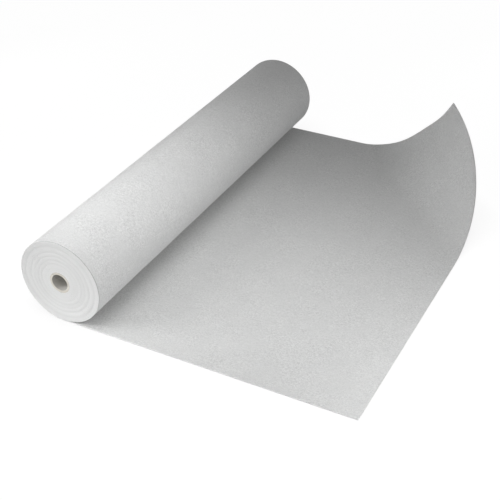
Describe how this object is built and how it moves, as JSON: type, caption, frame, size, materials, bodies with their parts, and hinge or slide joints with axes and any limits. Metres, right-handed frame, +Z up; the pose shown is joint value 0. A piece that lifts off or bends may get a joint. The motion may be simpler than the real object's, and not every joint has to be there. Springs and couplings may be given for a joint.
{
  "type": "geotextile roll",
  "caption": "Roll of grey-white nonwoven geotextile on an open paper core, partly laid out on the ground, the far corner of its free end curling up.",
  "frame": {"origin": "on the ground, under the middle of the whole object's box", "axes": "+Y along the roll's axis, from the end that the picture shows to the far end; +X from the roll along the laid web to its free end; +Z up"},
  "size_m": [1.5127, 2, 0.4627],
  "materials": {
    "geotextile": "matte",
    "paper_core": "matte",
    "tape": "satin"
  },
  "bodies": {
    "laid_out": {"laid_web": "geotextile"},
    "touchdown": {"touchdown_web": "geotextile"},
    "roll": {"core_tube": "paper_core", "wound_web": "geotextile", "start_tape_near": "tape", "start_tape_middle": "tape", "start_tape_far": "tape"}
  },
  "joints": [
    {"name": "roll_travel", "type": "slide", "parent": "laid_out", "child": "touchdown", "axis": [1, 0, 0], "range_m": [-1.2135, 0], "deforming": ["touchdown_web"]},
    {"name": "roll_spin", "type": "hinge", "parent": "touchdown", "child": "roll", "pos_m": [-0.56196, 0, 0.19577], "axis": [0, 1, 0], "range_deg": [-360, 0]}
  ],
  "couplings": [
    {"joint": "roll_spin", "follows": "roll_travel", "rad_per_m": 5.1773}
  ]
}
